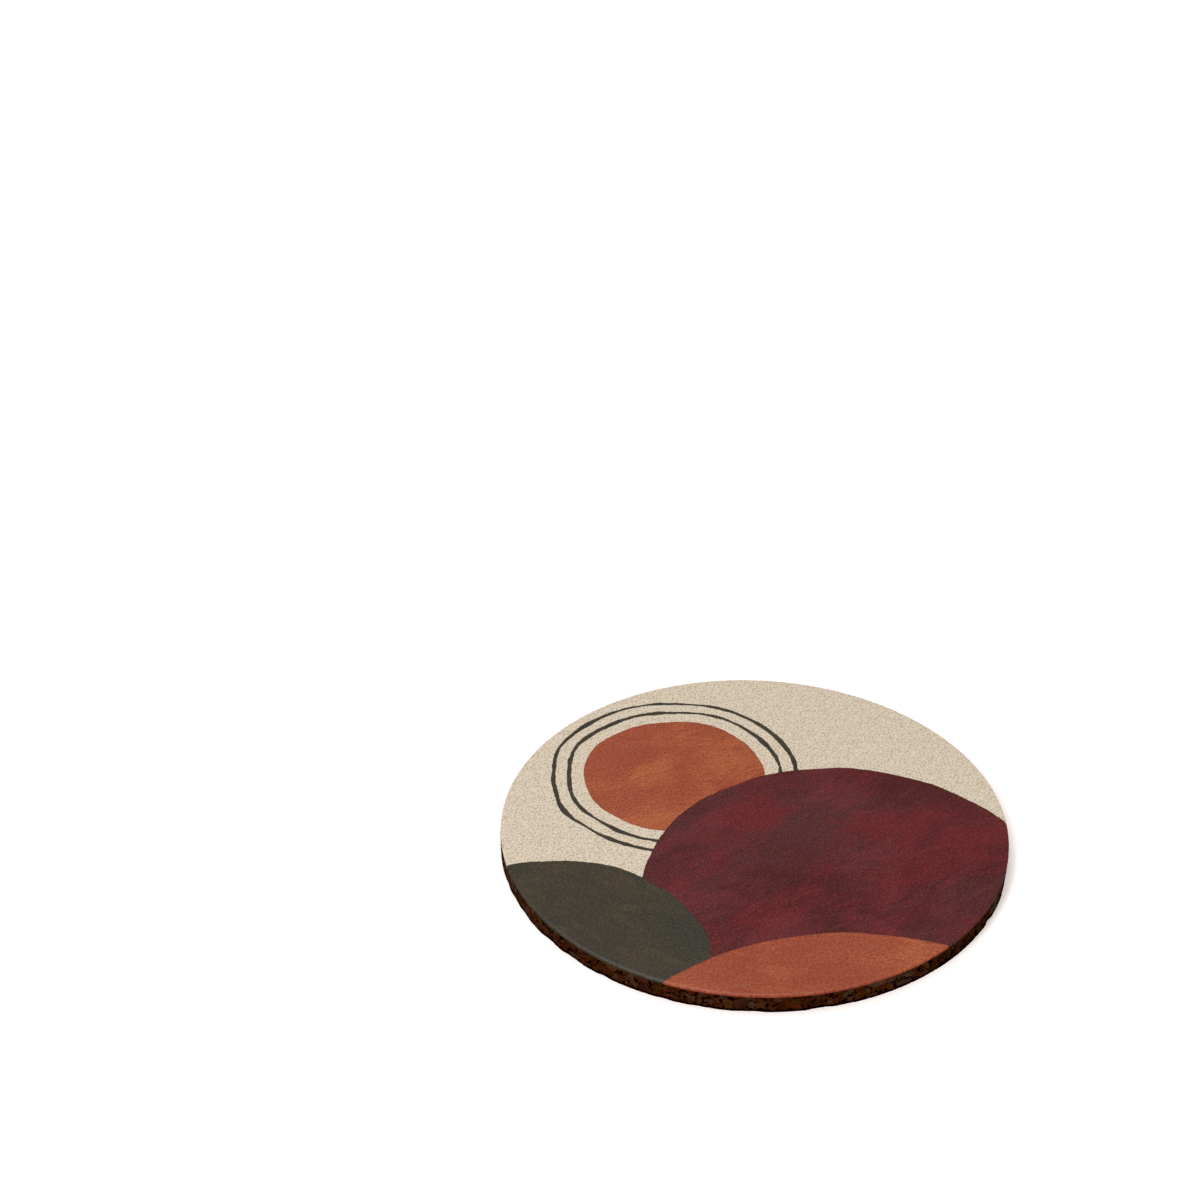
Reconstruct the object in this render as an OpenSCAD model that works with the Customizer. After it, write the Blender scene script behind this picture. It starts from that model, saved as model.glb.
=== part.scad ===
// Round drink coaster: a printed and clear-coated board, glued to an agglomerated cork back.
// The origin is the centre of the underside, +Z is up, and lengths are in millimetres.

/* [Coaster] */
// Diameter over the coated edge of the printed board
coaster_d = 95; // [70:0.5:120]

/* [Printed board] */
// Thickness of the bare board
board_t = 0.42; // [0.3:0.02:2]
// Rounding of the bare board's top edge
board_round = 0.2; // [0.05:0.01:0.25]
// Thickness of the printed sheet wrapped over the board
print_t = 0.1; // [0.05:0.01:0.3]
// Thickness of the clear coat over the print
coat_t = 0.08; // [0.03:0.01:0.2]

/* [Glue] */
// Thickness of the glue film between board and cork
glue_t = 0.1; // [0.05:0.01:0.3]
// How far the glue film stops short of the board's edge
glue_setback = 0.8; // [0.6:0.1:4]

/* [Cork sheet] */
// Thickness of the cork sheet
cork_t = 3.1; // [2:0.1:8]
// How far the proudest granules stand outside the coated edge
cork_proud = 0.1; // [0:0.05:0.3]

/* [Cork granules] */
// Usual width of a granule along the cut rim
granule_w = 2.4; // [1.6:0.1:4]
// Usual height of a granule on the cut rim
granule_h = 1.05; // [0.8:0.05:1.6]
// How much deeper the most recessed granule faces lie than the proudest
granule_relief = 0.28; // [0:0.02:0.4]
// Depth of the crevices between granules, below the proudest face
crevice_depth = 0.5; // [0.45:0.05:0.9]
// Usual distance between the open pits of the underside
pit_spacing = 6.2; // [5:0.2:12]
// Width of the largest pit
pit_w = 1.9; // [0.8:0.1:3]
// Depth of the pits
pit_depth = 0.35; // [0.1:0.05:1]

/* [Hidden] */
$fn = 180;

// How far a cutting solid runs past the face that it cuts
overrun = 1;

// Radii of the layers of the wrapped board, from the outside in
coat_r = coaster_d / 2;
print_r = coat_r - coat_t;
board_r = print_r - print_t;

// Levels, from the table up
glue_z = cork_t;
board_z = glue_z + glue_t;

// The cut rim of the cork: whole granules in each row and whole rows in the thickness
rim_r = coat_r + cork_proud;
crevice_r = rim_r - crevice_depth;
columns = round(2 * PI * rim_r / granule_w);
rows = max(2, round(cork_t / granule_h));
steps = 2 * columns;
row_t = cork_t / rows;
step_angle = 360 / steps;

// How far a corner between granules strays, as a share of a step along the rim and of a row
stray_share = 0.84;
wave_share = 0.76;
// How far a granule's face stands in from its corners, as a share of its own size
inset_share = 0.14;
// Steepest tilt of a granule's face, as a rise over its run
tilt_share = 0.14;
// Granules that have come away from the rim, as a share of all, and how far the floors that they
// leave stand out from the crevices, as a share of the crevices' depth
lost_share = 0.07;
floor_share = 0.25;

// Seeded draws, one list for each property of the granules
corner_turn = rands(-1, 1, steps * (rows + 1), 11);
corner_rise = rands(-1, 1, steps * (rows + 1), 12);
face_drop = rands(0, 1, columns * rows, 13);
face_yaw = rands(-1, 1, columns * rows, 14);
face_pitch = rands(-1, 1, columns * rows, 15);

// Corners lie on lines that run round the rim, and a line borders the rows above and below it.
// Row 0 stands on line 0, and the joints of one row fall midway between those of the next.
function corner_at(line, step) = line * steps + step % steps;
function corner_angle(line, step) =
    (step + stray_share * corner_turn[corner_at(line, step)] / 2) * step_angle;
function corner_z(line, step) =
    line == 0 || line == rows ? line * row_t
    : (line + wave_share * corner_rise[corner_at(line, step)] / 2) * row_t;
function corner_point(line, step) =
    let (a = corner_angle(line, step))
    [crevice_r * cos(a), crevice_r * sin(a), corner_z(line, step)];

// A granule has six corners, anticlockwise seen from outside: three on its lower line, three above
function granule_corners(row, column) =
    let (first = 2 * column + row % 2)
    [for (s = [0 : 2]) [row, first + s], for (s = [2 : -1 : 0]) [row + 1, first + s]];
function mean(values) = values * [for (v = values) 1] / len(values);

// A granule's face is one tilted plane, set in from the corners but not at the sheet's two skins,
// Where the granule has come away, the face is the floor that it leaves.
function face_points(row, column) =
    let (
        index = row * columns + column,
        corners = granule_corners(row, column),
        angles = [for (c = corners) corner_angle(c[0], c[1])],
        heights = [for (c = corners) corner_z(c[0], c[1])],
        mid_a = mean(angles),
        mid_z = mean(heights),
        lost = face_drop[index] < lost_share,
        depth = lost ? crevice_r + floor_share * crevice_depth : rim_r - granule_relief * face_drop[index],
        yaw = lost ? 0 : tilt_share * face_yaw[index],
        pitch = lost ? 0 : tilt_share * face_pitch[index],
        bends = [for (i = [0 : 5])
            let (skin = corners[i][0] == 0 || corners[i][0] == rows)
            [
                (angles[i] - mid_a) * (1 - inset_share),
                (heights[i] - mid_z) * (skin ? 1 : 1 - inset_share)
            ]]
    )
    [for (b = bends)
        let (r = min(rim_r, (depth - pitch * b[1]) / (cos(b[0]) + yaw * sin(b[0]))))
        [r * cos(mid_a + b[0]), r * sin(mid_a + b[0]), mid_z + b[1]]];

module granular_disc() {
    lattice = [for (line = [0 : rows], s = [0 : steps - 1]) corner_point(line, s)];
    faces_at = len(lattice);
    plates = [for (row = [0 : rows - 1], c = [0 : columns - 1]) each face_points(row, c)];
    plate_fans = [for (g = [0 : rows * columns - 1], i = [1 : 4])
        [faces_at + 6 * g, faces_at + 6 * g + i + 1, faces_at + 6 * g + i]];
    walls = [for (row = [0 : rows - 1], c = [0 : columns - 1])
        let (
            corners = granule_corners(row, c),
            first = faces_at + 6 * (row * columns + c)
        )
        for (i = [0 : 5])
            let (
                next = (i + 1) % 6,
                a = corner_at(corners[i][0], corners[i][1]),
                b = corner_at(corners[next][0], corners[next][1])
            )
            each [[a, first + i, b], [b, first + i, first + next]]];
    underside = [for (s = [0 : steps - 1]) s];
    top = [for (s = [steps - 1 : -1 : 0]) rows * steps + s];
    polyhedron(concat(lattice, plates), concat(plate_fans, walls, [underside, top]));
}

// Pits lie along a seed-head spiral, so that they never meet, and each is an uneven five-sided hole
pit_reach = crevice_r - pit_w;
pit_count = floor(pow(2 * pit_reach / pit_spacing, 2));
pit_sides = 5;
golden_turn = 180 * (3 - sqrt(5));
least_pit_share = 0.45;
pit_size = rands(least_pit_share, 1, pit_count * pit_sides, 21);
pit_turn = rands(0, 360, pit_count, 22);

module pit_outline(index) {
    polygon([for (i = [0 : pit_sides - 1])
        let (
            r = pit_w / 2 * pit_size[index * pit_sides + i],
            a = pit_turn[index] + i * 360 / pit_sides
        )
        [r * cos(a), r * sin(a)]]);
}

module underside_pits() {
    translate([0, 0, -overrun]) linear_extrude(overrun + pit_depth)
        for (i = [0 : pit_count - 1])
            rotate((i + 1) * golden_turn)
                translate([pit_reach * sqrt((i + 1) / pit_count), 0]) pit_outline(i);
}

// A disc with a rounded top edge, standing on z = 0 and running on below it where it is a cutter
module round_topped_disc(r, t, round_r, below = 0) {
    rotate_extrude() {
        translate([0, -below]) square([r, t - round_r + below]);
        translate([0, t - round_r]) square([r - round_r, round_r]);
        translate([r - round_r, t - round_r]) intersection() {
            circle(round_r);
            square(round_r);
        }
    }
}

module board_blank(below = 0) {
    round_topped_disc(board_r, board_t, board_round, below);
}

module print_blank(below = 0) {
    round_topped_disc(print_r, board_t + print_t, board_round + print_t, below);
}

module coat_blank() {
    round_topped_disc(coat_r, board_t + print_t + coat_t, board_round + print_t + coat_t);
}

module cork_back() {
    color("#5a3418") difference() {
        granular_disc();
        underside_pits();
    }
}

module glue_film() {
    color("#c9b48a") translate([0, 0, glue_z]) cylinder(glue_t, r = board_r - glue_setback);
}

module top_board() {
    color("#a5794f") translate([0, 0, board_z]) board_blank();
}

module printed_sheet() {
    color("#6b2a2c") translate([0, 0, board_z]) difference() {
        print_blank();
        board_blank(overrun);
    }
}

module clear_coat() {
    color("#f2efe9", 0.25) translate([0, 0, board_z]) difference() {
        coat_blank();
        print_blank(overrun);
    }
}

cork_back();
glue_film();
top_board();
printed_sheet();
clear_coat();
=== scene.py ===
import math

import bpy
import numpy as np
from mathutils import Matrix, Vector, kdtree, noise


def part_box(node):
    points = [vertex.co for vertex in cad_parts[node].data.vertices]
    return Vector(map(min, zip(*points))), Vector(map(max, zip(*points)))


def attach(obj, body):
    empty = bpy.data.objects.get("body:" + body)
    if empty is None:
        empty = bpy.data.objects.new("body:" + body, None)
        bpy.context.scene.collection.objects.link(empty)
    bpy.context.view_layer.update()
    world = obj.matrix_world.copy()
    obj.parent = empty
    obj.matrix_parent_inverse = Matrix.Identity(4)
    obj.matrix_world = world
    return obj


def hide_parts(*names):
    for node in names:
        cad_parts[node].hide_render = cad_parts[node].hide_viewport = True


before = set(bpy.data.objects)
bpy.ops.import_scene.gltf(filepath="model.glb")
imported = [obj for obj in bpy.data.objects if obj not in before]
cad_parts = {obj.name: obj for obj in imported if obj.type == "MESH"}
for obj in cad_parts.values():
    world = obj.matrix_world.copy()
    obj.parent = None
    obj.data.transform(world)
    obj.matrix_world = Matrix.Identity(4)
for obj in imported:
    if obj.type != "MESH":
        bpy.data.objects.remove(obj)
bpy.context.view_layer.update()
mm = 0.001

corkLow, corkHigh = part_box("cork_back")
boardLow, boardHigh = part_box("top_board")
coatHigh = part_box("clear_coat")[1]
corkRadius = min(corkHigh.x, corkHigh.y, -corkLow.x, -corkLow.y)
print("frame loaded: %.1f mm across, %.2f mm thick" % (2 * coatHigh.x / mm, coatHigh.z / mm))

noiseSpan = (0.3, 0.7)   # a soft noise stays between these levels nearly everywhere
noiseMiddle = 0.5


def hexColour(code):   # sRGB hex to the linear colour that a socket takes, by the sRGB curve
    parts = [int(code[i:i + 2], 16) / 255 for i in (1, 3, 5)]
    return tuple(p / 12.92 if p <= 0.04045 else ((p + 0.055) / 1.055) ** 2.4 for p in parts) + (1,)


def addNode(tree, kind, given=(), **settings):
    # given holds values, sockets or nodes, by input socket or in the sockets' order, and a node
    # stands for its first live output. A Mix has its share at 0, and what it mixes at 2 and 3 where
    # that is plain numbers, or at 6 and 7 where it is colours.
    made = tree.nodes.new("ShaderNode" + kind)
    for name, value in settings.items():
        setattr(made, name, value)
    for socket, source in given.items() if isinstance(given, dict) else enumerate(given):
        if isinstance(source, bpy.types.Node):
            source = next(output for output in source.outputs if output.enabled)
        if isinstance(source, bpy.types.NodeSocket):
            tree.links.new(source, made.inputs[socket])
        else:
            made.inputs[socket].default_value = source
    return made


def newMaterial(name):
    material = bpy.data.materials.new(name)
    material.use_nodes = True
    material.node_tree.nodes.clear()
    return material, material.node_tree


def placeInMm(tree):   # the piece's own coordinates, in millimetres
    own = addNode(tree, "TexCoord").outputs["Object"]
    return addNode(tree, "VectorMath", {0: own, "Scale": 1 / mm}, operation="SCALE")


def cloud(tree, place, size, detail=2.0, rough=0.5, stretch=(1, 1), turn=0.0, shift=0.0):
    # soft noise from 0 to 1 whose blobs are about size mm across, drawn out along an x axis turned
    # by turn degrees, and taken from a place shift sizes away
    moved = addNode(tree, "Mapping", {
        "Vector": place, "Location": (shift * size,) * 3, "Rotation": (0, 0, math.radians(turn)),
        "Scale": (size * stretch[0], size * stretch[1], size)}, vector_type="TEXTURE")
    return addNode(tree, "TexNoise", {
        "Vector": moved, "Scale": 1.0, "Detail": detail, "Roughness": rough})


def newPiece(name, points, faces, material, smooth=True):
    mesh = bpy.data.meshes.new(name)
    mesh.from_pydata([tuple(p) for p in points], [], faces)
    mesh.update()
    mesh.polygons.foreach_set("use_smooth", [smooth] * len(mesh.polygons))
    piece = bpy.data.objects.new(name, mesh)
    bpy.context.scene.collection.objects.link(piece)
    mesh.materials.append(material)
    return piece


# Camera at the photograph's viewing angle
view = {
    "place": (-28.87 * mm, -384.31 * mm, 305.85 * mm),
    "pitch": 33.218,       # degrees below the horizon
    "focalPixels": 2594.5,
    "framePixels": 1200,
    "sensor": 36.0,        # mm
    "nearest": 0.01,       # m
}
camData = bpy.data.cameras.new("camera")
camData.sensor_width = view["sensor"]
camData.lens = view["focalPixels"] / view["framePixels"] * view["sensor"]
camData.clip_start = view["nearest"]
cam = bpy.data.objects.new("camera", camData)
cam.location = view["place"]
cam.rotation_euler = (math.radians(90 - view["pitch"]), 0, 0)
bpy.context.scene.collection.objects.link(cam)
bpy.context.scene.camera = cam
print("camera set")


# Printed sheet under satin lacquer: gouache-like inks printed on a flecked paper, closed by a
# lacquer, so the eye gets soft washes, fine paper grain and one thin pale line along the edge
face = {
    "fall": (0.5 * mm, 0.09 * mm),   # width and depth of the lacquer's slow fall before the edge
    "tight": 0.15 * mm,              # radius that then turns it down the side
    "boardRound": 0.2 * mm,          # radius of the board's edge under the print
    "dryFrom": 45,                   # degrees of tilt past which the roller leaves the print dry
    "turns": 720,                    # faces round the edge
    "arcSteps": 12,                  # mesh rings on each bend of the edge
    "flatRings": 12,                 # mesh rings on the flat
    "lacquer": {"IOR": 1.47, "Specular IOR Level": 0.22},   # acrylic lacquer
    "satin": (0.22, 0.3),            # roughness from the closest to the driest lacquer
    "sheen": dict(size=1.6, shift=90.0),                    # patches of closer and drier lacquer
    "ripple": dict(size=0.9, detail=1.0, shift=120.0),      # what the roller leaves
    "rippleHeight": 0.006,           # mm
    "dryWall": {"IOR": 1.47, "Specular IOR Level": 0.03, "Roughness": 0.6},   # matt ink
    "paintedWallLight": 1.2,                  # painted light: the side wall's ink is drawn this much lighter than the face's
    "shapes": {   # in laying order: places and radii in mm, and the turn and shift of the washes
        "sun": {"ink": "clay", "centre": (-14.5, 15.5), "radius": 17.5, "turn": 14, "shift": 40.0},
        "hill": {"ink": "wine", "centre": (16, -20), "radius": 37.5, "turn": 32, "shift": 3.0},
        "rise": {"ink": "olive", "centre": (-37, -38), "radius": 27.5, "turn": -35, "shift": 80.0},
        "dune": {"ink": "clay", "centre": (15, -78.5), "radius": 47.5, "turn": -10, "shift": 150.0},
    },
    "inks": {   # each wash: colour, blob size mm, stretch, noise level of start and full, strength
        "clay": {
            "base": "#9d4d34",
            "washes": (("#93432d", 34, (1.3, 1), 0.42, 0.62, 0.9),
                       ("#ae5f3b", 22, (1.3, 1), 0.44, 0.62, 0.85),
                       ("#b2643f", 9, (1.6, 0.8), 0.52, 0.70, 0.4),
                       ("#92432d", 5, (1.6, 0.8), 0.52, 0.70, 0.35),
                       ("#955742", 2.0, (2.0, 0.6), 0.55, 0.72, 0.45)),
        },
        "wine": {
            "base": "#552022",
            "washes": (("#4b1719", 38, (1.4, 1), 0.42, 0.60, 0.9),
                       ("#522829", 26, (1.3, 1), 0.42, 0.60, 0.85),
                       ("#6a1f23", 20, (1.4, 0.9), 0.46, 0.64, 0.85),
                       ("#6f2b2f", 10, (1.6, 0.8), 0.50, 0.68, 0.5),
                       ("#461719", 7, (1.6, 0.8), 0.50, 0.68, 0.45),
                       ("#6d2a2d", 2.2, (2.4, 0.6), 0.56, 0.74, 0.4)),
        },
        "olive": {
            "base": "#3c372d",
            "washes": (("#36352d", 16, (1.3, 1), 0.44, 0.62, 0.7),
                       ("#453b2b", 9, (1.4, 0.9), 0.50, 0.62, 0.75),
                       ("#4d4330", 3.5, (1.7, 0.7), 0.54, 0.66, 0.5)),
        },
    },
    "washGrain": dict(detail=5.0, rough=0.62),              # how broken a wash's border is
    "washShift": 11.3,               # from one wash's noise to the next, in its blob sizes
    "warp": (5.0, 20),               # how far a wash bends, over what length, mm
    "bristles": dict(size=1.3, detail=3.0, rough=0.6, stretch=(3.2, 0.6)),   # brush streaks
    "bristleTone": 0.05,             # tonal range of the streaks
    "drag": 0.2,                     # how far the streaks fray the border of a wash
    "sway": (0.9, 15),               # slow wander of an edge: how far, over what length, mm
    "edgeBristle": (0.16, 1.1),      # brush roughness of an edge, in the same way
    "bleed": 0.07,                   # how far an ink's edge softens into the paper, mm
    "pool": (0.7, 0.9),              # width of the ink's edge band, mm, and how bright it stays
    "rings": (20.6, 23.6),           # radii of the thin rings round the sun, mm
    "ringInk": "rise",
    "ringWidth": 0.85,               # mm
    "ringSwell": 0.5,                # how far a ring's width wanders, as a share of it
    "ringWander": dict(size=7, shift=20.0),
    "paper": "#dfd0bb",
    "fleck": "#b9a78e",
    "flecks": dict(size=0.36, detail=1.0),     # paper flecks are 0.2 to 0.4 mm wide
    "fleckStart": (0.54, 0.57),      # noise levels where a fleck starts and is full
    "patches": dict(size=1.5, shift=7.0),      # zones with more or fewer flecks
    "patchSpan": (0.35, 0.65),       # noise levels of the barest and the fullest zone
    "patchDrift": 0.035,             # how far a zone moves the flecks' start
    "grain": dict(size=0.46, detail=1.5, rough=0.6),   # ink on paper, twice as coarse, to show
    "grainShift": 60.0,              # shifts keep one noise apart from another, in blob sizes
    "grainSpan": (0.25, 0.75),       # noise levels of the darkest and the lightest grain
    "grainTone": 0.38,               # tonal range of the grain on ink
    "bareTone": 0.25,                # share of that range on bare paper
    "thinShift": 75.0,
    "thinSpan": (0.45, 0.75),        # levels where the ink starts to lie thin and is thinnest
    "thin": 0.035,                   # most paper that shows through there
    "skew": 33,                      # turns flecks and grain off the sheet's axes, degrees
}


def waved(tree, place, reach, length):   # place moved sideways by a soft noise
    sway = addNode(tree, "TexNoise", {"Vector": place, "Scale": 1 / length}).outputs["Color"]
    centred = addNode(tree, "VectorMath", (sway, (noiseMiddle,) * 3), operation="SUBTRACT")
    step = addNode(tree, "VectorMath", (centred, (2 * reach, 2 * reach, 0)), operation="MULTIPLY")
    return addNode(tree, "VectorMath", (place, step), operation="ADD")


def washed(tree, place, shape):   # the colour of a shape's ink, brushed on in washes
    ink, turn, shift = face["inks"][shape["ink"]], shape["turn"], shape["shift"]
    streaks = cloud(tree, place, turn=turn, shift=shift, **face["bristles"])
    frayed = addNode(tree, "MapRange", (streaks, 0, 1, -face["drag"] / 2, face["drag"] / 2))
    colour = hexColour(ink["base"])
    for code, size, stretch, start, full, most in ink["washes"]:
        shift += face["washShift"]
        blob = cloud(tree, place, size, stretch=stretch, turn=turn, shift=shift,
                     **face["washGrain"])
        blob = addNode(tree, "Math", (blob, frayed), operation="ADD")
        share = addNode(tree, "MapRange", (blob, start, full, 0, most),
                        interpolation_type="SMOOTHSTEP")
        colour = addNode(tree, "Mix", {0: share, 6: colour, 7: hexColour(code)}, data_type="RGBA")
    reach = face["bristleTone"]
    tone = addNode(tree, "MapRange", (streaks, *noiseSpan, 1 - reach, 1 + reach))
    return addNode(tree, "VectorMath", {0: colour, "Scale": tone}, operation="SCALE")


def printColour(tree, place):   # the paper, the rings and shapes in their order, and the grain
    paper, fleck = hexColour(face["paper"]), hexColour(face["fleck"])
    flat = addNode(tree, "VectorMath", (place, (1, 1, 0)), operation="MULTIPLY")
    swayed = waved(tree, waved(tree, flat, *face["sway"]), *face["edgeBristle"])
    bent = waved(tree, flat, *face["warp"])

    def depthIn(shape):   # above zero inside the shape
        away = addNode(tree, "VectorMath", (swayed, (*shape["centre"], 0)), operation="DISTANCE")
        return addNode(tree, "Math", (shape["radius"], away), operation="SUBTRACT")

    def inked(under, bare, depth, ink):   # the print and its bare paper, with one more ink laid on
        inside = addNode(tree, "MapRange", (depth, -face["bleed"], face["bleed"]),
                         interpolation_type="SMOOTHSTEP")
        return (addNode(tree, "Mix", {0: inside, 6: under, 7: ink}, data_type="RGBA"),
                addNode(tree, "Math", (bare, inside), operation="SUBTRACT"))

    zones, reach = cloud(tree, flat, **face["patches"]), face["patchDrift"]
    drift = addNode(tree, "MapRange", (zones, *face["patchSpan"], -reach, reach))
    flecks = cloud(tree, flat, turn=face["skew"], **face["flecks"])
    flecks = addNode(tree, "Math", (flecks, drift), operation="ADD")
    flecked = addNode(tree, "MapRange", (flecks, *face["fleckStart"]),
                      interpolation_type="SMOOTHSTEP")
    colour = addNode(tree, "Mix", {0: flecked, 6: paper, 7: fleck}, data_type="RGBA")
    bare = 1.0

    inks = {name: washed(tree, bent, shape) for name, shape in face["shapes"].items()}
    depths = {name: depthIn(shape) for name, shape in face["shapes"].items()}
    usual, swell = face["ringWidth"], face["ringSwell"]
    wander = cloud(tree, flat, **face["ringWander"])
    width = addNode(tree, "MapRange", (wander, *noiseSpan, usual * (1 - swell), usual * (1 + swell)))
    halfWidth = addNode(tree, "Math", (width, 0.5), operation="MULTIPLY")
    sunRadius = face["shapes"]["sun"]["radius"]
    for ring in face["rings"]:
        off = addNode(tree, "Math", (depths["sun"], ring - sunRadius), operation="ADD")
        off = addNode(tree, "Math", (off,), operation="ABSOLUTE")
        line = addNode(tree, "Math", (halfWidth, off), operation="SUBTRACT")
        colour, bare = inked(colour, bare, line, inks[face["ringInk"]])
    band, least = face["pool"]
    for name, ink in inks.items():
        pool = addNode(tree, "MapRange", (depths[name], 0, band, least, 1),
                       interpolation_type="SMOOTHSTEP")
        pooled = addNode(tree, "VectorMath", {0: ink, "Scale": pool}, operation="SCALE")
        colour, bare = inked(colour, bare, depths[name], pooled)

    grain = cloud(tree, flat, turn=face["skew"], shift=face["grainShift"], **face["grain"])
    gapAndShadeValues = cloud(tree, flat, turn=face["skew"], shift=face["thinShift"], **face["grain"])
    thin = addNode(tree, "MapRange", (gapAndShadeValues, *face["thinSpan"], 0, face["thin"]),
                   interpolation_type="SMOOTHSTEP")
    colour = addNode(tree, "Mix", {0: thin, 6: colour, 7: paper}, data_type="RGBA")
    most = face["grainTone"]
    deep = addNode(tree, "MapRange", (bare, 0, 1, most, most * face["bareTone"]),
                   interpolation_type="SMOOTHSTEP")
    swing = addNode(tree, "MapRange", (grain, *face["grainSpan"], -1, 1))
    tone = addNode(tree, "Math", (swing, deep, 1), operation="MULTIPLY_ADD")
    return addNode(tree, "VectorMath", {0: colour, "Scale": tone}, operation="SCALE")


def lacqueredPrint():   # rolled satin lacquer: soft wide gloss, a little uneven, over the inks
    material, tree = newMaterial("printed paper, satin lacquer")
    place = placeInMm(tree)
    sheen = cloud(tree, place, **face["sheen"])
    ripple = cloud(tree, place, **face["ripple"])
    shader = addNode(tree, "BsdfPrincipled", {
        "Base Color": printColour(tree, place),
        "Roughness": addNode(tree, "MapRange", (sheen, *noiseSpan, *face["satin"])),
        "Normal": addNode(tree, "Bump", {"Height": ripple, "Distance": face["rippleHeight"] * mm}),
        **face["lacquer"]})
    addNode(tree, "OutputMaterial", {"Surface": shader})
    return material


def dryPrint():   # the side that the roller missed: the same inks, matt, and painted lighter to stand in for light it lacks
    material, tree = newMaterial("printed paper, dry wall, painted lighter")
    ink = printColour(tree, placeInMm(tree))
    # painted light: the side wall's ink is lifted lighter
    paintedLighter = addNode(tree, "VectorMath", {0: ink, "Scale": face["paintedWallLight"]}, operation="SCALE")
    shader = addNode(tree, "BsdfPrincipled", {"Base Color": paintedLighter, **face["dryWall"]})
    addNode(tree, "OutputMaterial", {"Surface": shader})
    return material


def revolve(profile, turns):   # a closed solid from a profile that starts and ends on the axis
    points, faces = [(0, 0, profile[0][1])], []
    for r, z in profile[1:-1]:
        for t in range(turns):
            a = 2 * math.pi * t / turns
            points.append((r * math.cos(a), r * math.sin(a), z))
    last = len(points)
    points.append((0, 0, profile[-1][1]))
    rings = len(profile) - 2
    for t in range(turns):
        n = (t + 1) % turns
        faces.append((0, 1 + t, 1 + n))
        for k in range(rings - 1):
            a, b = 1 + k * turns, 1 + (k + 1) * turns
            faces.append((a + t, b + t, b + n, a + n))
        foot = 1 + (rings - 1) * turns
        faces.append((foot + t, last, foot + n))
    return points, faces


def roundedEdge(radius, top, tight, width=0.0, drop=0.0):   # from the flat out to the side
    steps = face["arcSteps"]
    start = math.atan(2 * drop / width) if width else 0.0
    inner = radius - tight * (1 - math.sin(start))
    falling = [(inner - width * (1 - k / steps), top - drop * (k / steps) ** 2)
               for k in range(steps)]
    angles = [start + (math.pi / 2 - start) * k / steps for k in range(steps + 1)]
    turning = [(radius - tight * (1 - math.sin(a)),
                top - drop - tight * (math.cos(start) - math.cos(a))) for a in angles]
    return (falling if width else []) + turning


def coatedSheet():
    outer, inner = coatHigh.x, boardHigh.x
    top, foot = coatHigh.z, boardLow.z
    edge = roundedEdge(outer, top, face["tight"], *face["fall"])
    flats = face["flatRings"]
    profile = [(edge[0][0] * k / flats, top) for k in range(flats)]
    profile += edge + [(outer, foot), (inner, foot)]
    profile += roundedEdge(inner, boardHigh.z, face["boardRound"])[::-1] + [(0, boardHigh.z)]
    points, faces = revolve(profile, face["turns"])
    piece = newPiece("printed_face", points, faces, lacqueredPrint())
    piece.data.materials.append(dryPrint())
    leastUp = math.cos(math.radians(face["dryFrom"]))
    for polygon in piece.data.polygons:
        polygon.material_index = int(polygon.normal.z < leastUp)
    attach(piece, "root")
    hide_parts("printed_sheet", "clear_coat")


coatedSheet()
print("printed face made")
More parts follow.
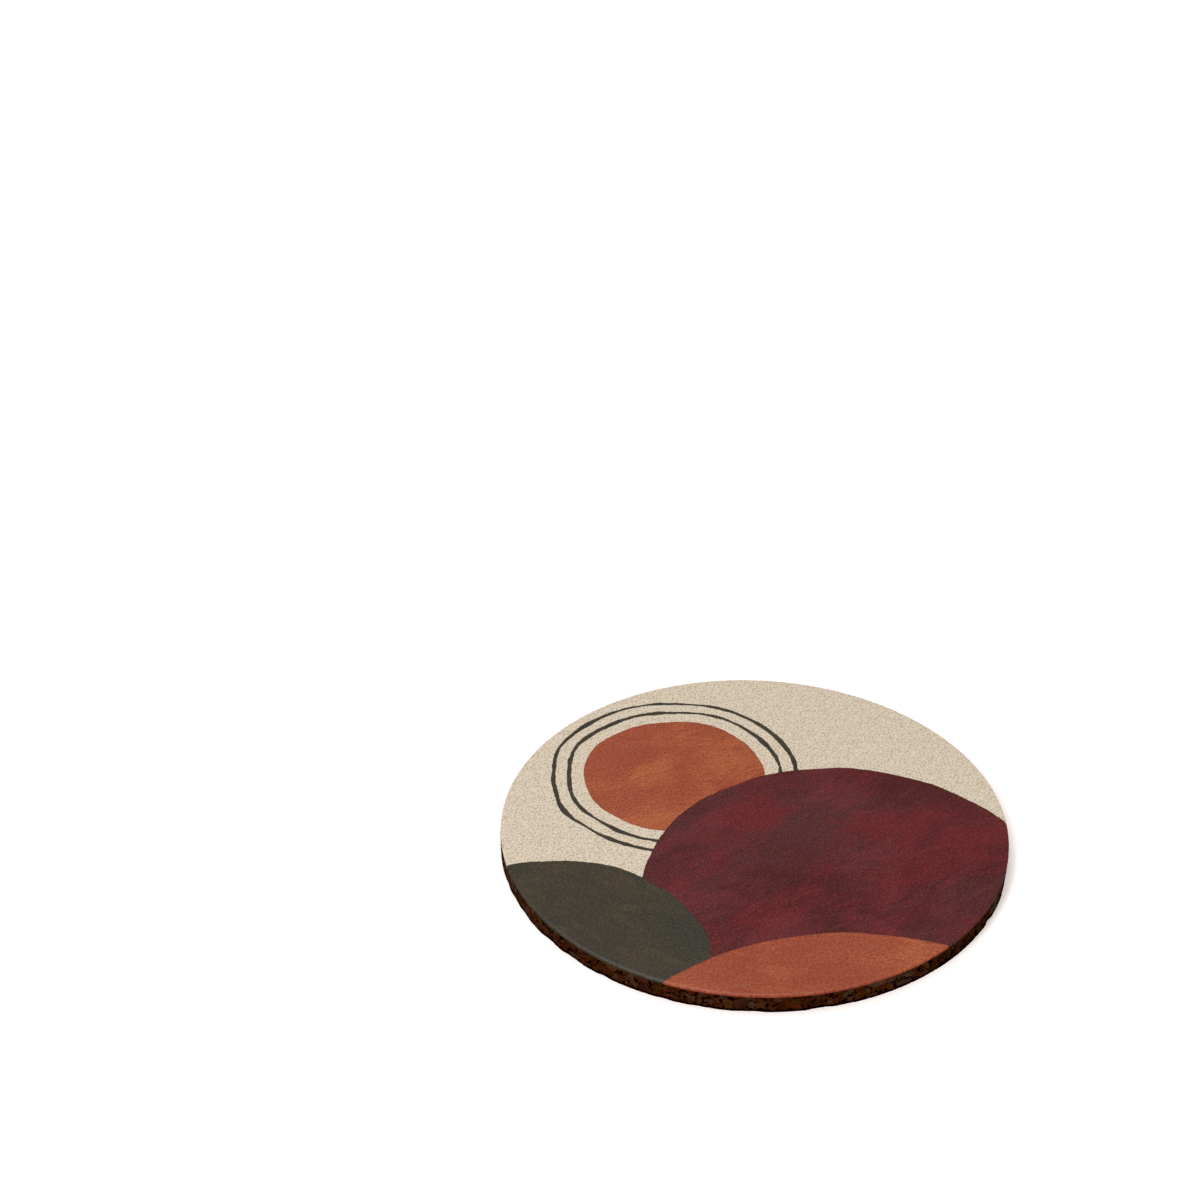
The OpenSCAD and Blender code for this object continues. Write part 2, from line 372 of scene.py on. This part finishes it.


# Agglomerated cork, die-cut: roasted granules pressed with a dark binder and cut through by the die,
# so the eye gets flat cut faces of mixed dark browns, dark seams, open gaps painted near-black as
# shade, and a painted shade line along the foot
cork = {
    "seed": 7,
    "granule": 2.9,               # usual width of a granule, mm
    "crumb": 0.9,                 # usual width of the crumbs that gather between them, mm
    "crumbZone": (3.2, 0.2),      # width of the zones with crumbs, mm, and the noise level of one
    "margin": 1.5,                # granules are made this many widths past the surface
    "squash": 0.95,               # pressing leaves granules a little lower than wide
    "nearest": 4,                 # granules that are looked at for each place, its own among them
    "pairPrimes": (7919, 104729, 99991),          # turn two granule numbers into one mark
    "pairSteps": (0.6180339887, 0.7548776662),    # turn a mark into two evenly spread draws
    "bend": (0.22, 0.8),          # how far granule borders bend, over what length, mm
    "open": 0.7,                  # share of borders that gape
    "gape": (0.12, 0.4),          # half width of a gaping border, mm
    "gapeShare": (0.3, 2.0),      # how much of its length a gap stays open, how sharply it opens
    "gapeBreak": 0.9,             # length over which a gap opens and closes, mm
    "gapeShift": 50,              # keeps one gap's breaks apart from another's
    "gapeDepth": (0.2, 0.5),      # mm
    "bank": 1.6,                  # steepness of a gap's banks
    "seam": (0.06, 0.04),         # half width and depth of a closed border, mm
    "seamDark": 0.25,
    "halo": (0.3, 0.3),           # darker band along an open gap: width mm, how dark
    "faceDrop": 0.12,             # mm between the proudest and the deepest granule faces
    "tilt": 0.12,                 # steepest tilt of a granule's face, as a rise over its run
    "sanded": 0.25,               # share of that relief left on the sanded underside
    "pores": (0.03, 0.22),        # depth and width of the fine roughness, mm
    "poreBump": 0.4,
    "foot": (0.5, 0.1),           # height over which the relief fades downwards, mm, what is left
    "stray": (0.25, 4.0),         # how far the cut's foot strays inwards, over what length, mm
    "footShade": (0.6, 0.95),     # height of the painted shade along the foot, mm, how dark it is
    "footStart": 2,               # how sharply the painted foot shade and the strays set in
    "rimStep": 0.15,              # mesh spacing on the rim, mm
    "flatStep": 0.38,             # mesh spacing on the underside, mm
    "finish": {"Roughness": 0.9, "IOR": 1.4, "Specular IOR Level": 0.02},
    "tones": ("#340f01", "#442505", "#381201", "#512005", "#4b2b0b", "#3c1602", "#54321a",
              "#351101", "#4d3727", "#491b02", "#573f2d", "#462708"),
    "clusters": dict(size=0.32, detail=3.0, rough=0.65),   # clusters of cells, 0.04 mm cells being
                                                           # too fine to show
    "shade": ("#220400", 0.3, 0.8),     # resin-rich clusters: tone, noise level of most, and most
    "bloom": ("#5f4026", 0.7, 0.45),    # dry clusters, pale and dull, in the same way
    "drift": dict(size=3.0, shift=30.0),   # slow change of tone along the sheet
    "driftTone": 0.2,
    # near black for dark seams, and painted shade in open gaps and along the foot
    "gapAndShade": "#140100",
    "gapStart": (0.05, 0.7),      # levels of darkness, as shares, from seams, gaps and painted shade, where the near-black starts and is full
}


def granuleField(radius, thick):   # random granule centres near the surfaces, in a squashed space
    rng = np.random.default_rng(cork["seed"])
    noise.seed_set(cork["seed"])   # noise_vector would else bend the borders anew in each run
    reach, depth = radius / mm, thick / mm
    zone, level = cork["crumbZone"]
    chosen = []
    for width in (cork["granule"], cork["crumb"]):
        margin = cork["margin"] * width
        low = (-reach - margin, -reach - margin, -margin)
        high = (reach + margin, reach + margin, depth + margin)
        volume = np.prod(np.subtract(high, low))
        seeds = rng.uniform(low, high, (int(volume / (width ** 3 * cork["squash"])), 3))
        r = np.hypot(seeds[:, 0], seeds[:, 1])
        nearSkin = (r > reach - 2 * margin) | (seeds[:, 2] < margin)   # the rim or the underside
        seeds = seeds[(r < reach + margin) & nearSkin]
        if width == cork["crumb"]:
            seeds = [s for s in seeds if noise.noise(Vector(s) / zone) > level]
        chosen += [tuple(s) for s in seeds]
    tree = kdtree.KDTree(len(chosen))
    for i, (x, y, z) in enumerate(chosen):
        tree.insert((x, y, z / cork["squash"]), i)
    tree.balance()
    return tree, rng.uniform(0, 1, (len(chosen), 5))


def borderFacts(a, b):   # the same random pair of numbers for a border, whichever side asks
    lowPrime, highPrime, most = cork["pairPrimes"]
    mark = (min(a, b) * lowPrime + max(a, b) * highPrime) % most
    return [(mark * step) % 1.0 for step in cork["pairSteps"]]


def between(limits, share):
    return limits[0] + share * (limits[1] - limits[0])


def carve(field, place, level):
    # how deep the surface lies at a place, the granule's tone, and how dark it is drawn, with open
    # gaps as painted shade
    tree, facts = field
    reach, length = cork["bend"]
    bend = noise.noise_vector(Vector(place) / length)
    spot = Vector((place[0] + reach * bend.x, place[1] + reach * bend.y,
                   (place[2] + reach * bend.z) / cork["squash"]))
    near = tree.find_n(spot, cork["nearest"])
    first, own = near[0][:2]
    steady, sharp = cork["gapeShare"]
    haloWidth, haloDark = cork["halo"]
    deep, dark = 0.0, 0.0
    for centre, other, _ in near[1:]:
        away = (spot - (first + centre) / 2).dot((first - centre).normalized())
        openness, size = borderFacts(own, other)
        half, most = cork["seam"]
        black = cork["seamDark"]
        if openness < cork["open"]:
            shift = Vector((openness * cork["gapeShift"], 0, 0))
            broken = noise.noise(Vector(place) / cork["gapeBreak"] + shift)
            swell = max(0.0, min(1.0, steady + sharp * broken))
            # an open gap is drawn near-black: painted shade in the hollow
            if between(cork["gape"], size) * swell > half:
                half = between(cork["gape"], size) * swell
                most, black = between(cork["gapeDepth"], size), 1.0
                dark = max(dark, haloDark * (1 - max(0.0, away - half) / haloWidth))
        share = min(1.0, cork["bank"] * (1 - away / half)) if away < half else 0.0
        if share * most > deep:
            deep = share * most
            dark = max(dark, share * black)
    fact = facts[own]
    lean = sum(cork["tilt"] * (f - 0.5) * o for f, o in zip(fact[1:4], spot - first))
    drop = level * max(0.0, cork["faceDrop"] * fact[0] + lean)
    poreDepth, poreSize = cork["pores"]
    pore = level * poreDepth * (0.5 + 0.5 * noise.noise(Vector(place) / poreSize))
    return drop + deep + pore, fact[4], dark


def zipRings(first, firstCount, second, secondCount):   # triangles between two closed rings
    faces, i, j = [], 0, 0
    while i < firstCount or j < secondCount:
        onFirst, onSecond = first + i % firstCount, second + j % secondCount
        if j * firstCount >= i * secondCount and i < firstCount:
            i += 1
            faces.append((onFirst, first + i % firstCount, onSecond))
        else:
            j += 1
            faces.append((onFirst, second + j % secondCount, onSecond))
    return faces


def corkSheet():
    radius, thick = corkRadius, corkHigh.z
    field = granuleField(radius, thick)
    rim = round(2 * math.pi * radius / (cork["rimStep"] * mm))
    rows = round(thick / (cork["rimStep"] * mm))
    points, tones, gapAndShadeValues, faces = [], [], [], []

    def addPoint(x, y, z, tone, gapAndShade):
        points.append((x * mm, y * mm, z * mm))
        tones.append(tone)
        gapAndShadeValues.append(gapAndShade)

    footHigh, footLeft = cork["foot"]
    shadeHigh, shadeDark = cork["footShade"]
    stray, length = cork["stray"]
    start = cork["footStart"]
    for k in range(rows + 1):                      # the cut rim, from the table up
        z = thick / mm * k / rows
        left = between((footLeft, 1.0), min(1.0, z / footHigh))
        # painted shade along the foot, darkest at the table
        paintedFootShade = shadeDark * min(1.0, start * max(0.0, 1 - z / shadeHigh))
        for t in range(rim):
            a = 2 * math.pi * t / rim
            x, y = radius / mm * math.cos(a), radius / mm * math.sin(a)
            deep, tone, gapAndShade = carve(field, (x, y, z), 1.0)
            strays = min(1.0, start * max(0.0, noise.noise(Vector((x, y, 0)) / length)))
            share = 1 - (deep * left + stray * (1 - k / rows) * strays) * mm / radius
            addPoint(x * share, y * share, z, tone, max(gapAndShade, paintedFootShade))
    for k in range(rows):
        for t in range(rim):
            n = (t + 1) % rim
            faces.append((k * rim + t, k * rim + n, (k + 1) * rim + n, (k + 1) * rim + t))
    faces.append(tuple(rows * rim + t for t in range(rim)))    # upper skin, under the glue

    ringStart, ringCount = 0, rim                  # underside, ring by ring inwards
    edge = radius / mm - cork["gapeDepth"][1]
    rings = round(edge / cork["flatStep"])
    for k in range(rings):
        r = edge * (1 - k / rings)
        count = round(2 * math.pi * r / cork["flatStep"])
        first = len(points)
        for t in range(count):
            a = 2 * math.pi * t / count
            x, y = r * math.cos(a), r * math.sin(a)
            deep, tone, gapAndShade = carve(field, (x, y, 0.0), cork["sanded"])
            addPoint(x, y, deep, tone, gapAndShade)
        faces += [f[::-1] for f in zipRings(ringStart, ringCount, first, count)]
        ringStart, ringCount = first, count
    deep, tone, gapAndShade = carve(field, (0, 0, 0), cork["sanded"])
    addPoint(0, 0, deep, tone, gapAndShade)
    centre = len(points) - 1
    faces += [(ringStart + (t + 1) % ringCount, ringStart + t, centre) for t in range(ringCount)]

    piece = newPiece("cork_sheet", points, faces, roastedCork(), smooth=False)
    for name, values in (("granuleTone", tones), ("gapAndShade", gapAndShadeValues)):
        layer = piece.data.attributes.new(name, "FLOAT", "POINT")
        layer.data.foreach_set("value", values)
    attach(piece, "root")
    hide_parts("cork_back")
    print("cork made: %d points, %d faces" % (len(points), len(faces)))


def roastedCork():   # each granule its own brown, mottled by its cells, between dark seams and open gaps painted near-black as shade, with painted shade along the foot
    material, tree = newMaterial("agglomerated cork, die-cut")
    place = placeInMm(tree)
    tone = addNode(tree, "Attribute", attribute_name="granuleTone").outputs["Fac"]
    gapAndShade = addNode(tree, "Attribute", attribute_name="gapAndShade").outputs["Fac"]
    body = addNode(tree, "ValToRGB", {"Fac": tone})
    marks = body.color_ramp.elements
    while len(marks) < len(cork["tones"]):
        marks.new(len(marks) / len(cork["tones"]))
    for i, code in enumerate(cork["tones"]):
        marks[i].position = i / (len(cork["tones"]) - 1)
        marks[i].color = hexColour(code)
    cells = cloud(tree, place, **cork["clusters"])
    for code, full, most in (cork["shade"], cork["bloom"]):
        share = addNode(tree, "MapRange", (cells, noiseMiddle, full, 0, most))
        body = addNode(tree, "Mix", {0: share, 6: body, 7: hexColour(code)}, data_type="RGBA")
    drift, reach = cloud(tree, place, **cork["drift"]), cork["driftTone"]
    drift = addNode(tree, "MapRange", (drift, *noiseSpan, 1 - reach, 1 + reach))
    body = addNode(tree, "VectorMath", {0: body, "Scale": drift}, operation="SCALE")
    dark = addNode(tree, "MapRange", (gapAndShade, *cork["gapStart"]), interpolation_type="SMOOTHSTEP")
    shader = addNode(tree, "BsdfPrincipled", {
        "Base Color": addNode(tree, "Mix", {0: dark, 6: body, 7: hexColour(cork["gapAndShade"])},
                              data_type="RGBA"),
        "Normal": addNode(tree, "Bump", {"Height": cells, "Strength": cork["poreBump"],
                                         "Distance": cork["pores"][0] * mm}),
        **cork["finish"]})
    addNode(tree, "OutputMaterial", {"Surface": shader})
    return material


corkSheet()


# Hidden layers keep their own solids.
# Pressed fibre board: steamed wood fibres pressed flat, a matt tan with short darker fibres
fibreBoard = {
    "node": "top_board",
    "material": "pressed fibre board",
    "streaks": dict(size=0.5, detail=4.0, rough=0.6, stretch=(3, 1), turn=30),   # fibres, mm
    "tones": ("#8f6a47", "#b08a60"),
    "finish": {"Roughness": 0.8, "IOR": 1.5, "Specular IOR Level": 0.3},
}
# Contact glue, rolled on and dried: a honey film with faint roller streaks
driedGlue = {
    "node": "glue_film",
    "material": "dried contact glue",
    "streaks": dict(size=1.8, stretch=(4, 1)),   # roller streaks, mm
    "tones": ("#b89a63", "#d2bb8b"),
    "finish": {"Roughness": 0.35, "IOR": 1.5, "Specular IOR Level": 0.4},
}


def streakedLayer(layer):
    material, tree = newMaterial(layer["material"])
    streaks = cloud(tree, placeInMm(tree), **layer["streaks"])
    dark, pale = [hexColour(code) for code in layer["tones"]]
    colour = addNode(tree, "Mix", {0: streaks, 6: dark, 7: pale}, data_type="RGBA")
    shader = addNode(tree, "BsdfPrincipled", {"Base Color": colour, **layer["finish"]})
    addNode(tree, "OutputMaterial", {"Surface": shader})
    return material


for layer in (fibreBoard, driedGlue):
    solid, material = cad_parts[layer["node"]], streakedLayer(layer)
    if not solid.material_slots:
        solid.data.materials.append(material)
    for slot in solid.material_slots:
        slot.material = material
print("hidden layers finished")


# Studio: a matt white paper sweep that shows white to the camera and keeps the soft shadow, with
# three soft lamps and a dim sky
studio = {
    "floorSize": 3.0,             # m
    "floorFinish": {"Roughness": 1.0, "IOR": 1.5, "Specular IOR Level": 0.0},
    "floorShown": "#fff3ef",      # warms only the shadow, because the lit floor clips to white
    "floorBounce": "#bdb8b4",     # what the floor throws back on the part
    "floorGlow": (0.26, 0.7),     # keeps the lit floor white: close to the part and far from it
    "glowReach": (0.055, 0.35),   # m
    "white": "#ffffff",
    "sky": (0.06, 0.5),           # strength at the walls and right overhead
    "skyStart": 0.4,              # height, from 0 to 1, from which the sky brightens
    "backdrop": (0.24, 0.34),     # heights between which the white backdrop ends
    "lamps": {                    # place m, size m, power W, and whether the lacquer mirrors it
        "top softbox": ((-0.2, 0.42, 1.26), 0.8, 5.3, True),
        "front softbox": ((0.1, -1.0, 0.8), 0.9, 5.55, False),
        "left softbox": ((-0.485, -0.578, 0.868), 0.3, 5.2, True),
    },
}


def seenRays(tree):   # 1 for what the eye sees directly, mirrored or through glass
    path = addNode(tree, "LightPath")
    relayed = (path.outputs["Is Glossy Ray"], path.outputs["Is Transmission Ray"])
    relayed = addNode(tree, "Math", relayed, operation="MAXIMUM")
    return addNode(tree, "Math", (path.outputs["Is Camera Ray"], relayed), operation="MAXIMUM")


def paperSweep():
    material, tree = newMaterial("matt white paper sweep")
    seen = seenRays(tree)
    own = addNode(tree, "TexCoord").outputs["Object"]
    away = addNode(tree, "VectorMath", (own,), operation="LENGTH")
    glow = addNode(tree, "MapRange", (away, *studio["glowReach"], *studio["floorGlow"]),
                   interpolation_type="SMOOTHSTEP")
    shader = addNode(tree, "BsdfPrincipled", {
        "Base Color": addNode(tree, "Mix", {0: seen, 6: hexColour(studio["floorBounce"]),
                                            7: hexColour(studio["floorShown"])}, data_type="RGBA"),
        "Emission Color": hexColour(studio["white"]),
        "Emission Strength": addNode(tree, "Math", (seen, glow), operation="MULTIPLY"),
        **studio["floorFinish"]})
    addNode(tree, "OutputMaterial", {"Surface": shader})
    return material


half = studio["floorSize"] / 2
floor = newPiece("floor", [(-half, -half, 0), (half, -half, 0), (half, half, 0), (-half, half, 0)],
                 [(0, 1, 2, 3)], paperSweep())

for name, (place, size, power, mirrored) in studio["lamps"].items():
    data = bpy.data.lights.new(name, "AREA")
    data.shape, data.size, data.energy = "SQUARE", size, power
    lamp = bpy.data.objects.new(name, data)
    lamp.location = place
    lamp.visible_glossy = mirrored
    lamp.rotation_euler = (-Vector(place)).to_track_quat("-Z", "Y").to_euler()
    bpy.context.scene.collection.objects.link(lamp)

world = bpy.data.worlds.new("studio")
bpy.context.scene.world = world
world.use_nodes = True
sky = world.node_tree
sky.nodes.clear()
facing = addNode(sky, "TexCoord").outputs["Generated"]
up = addNode(sky, "SeparateXYZ", (facing,)).outputs["Z"]
dim = addNode(sky, "MapRange", (up, studio["skyStart"], 1, *studio["sky"]))
backdrop = addNode(sky, "MapRange", (up, *studio["backdrop"], 1, 0),
                   interpolation_type="SMOOTHSTEP")
seenBackdrop = addNode(sky, "Math", (seenRays(sky), backdrop), operation="MULTIPLY")
strength = addNode(sky, "Mix", {0: seenBackdrop, 2: dim, 3: 1})
glow = addNode(sky, "Background", {"Color": hexColour(studio["white"]), "Strength": strength})
addNode(sky, "OutputWorld", {"Surface": glow})
bpy.context.scene.view_settings.view_transform = "Standard"
print("studio lit")
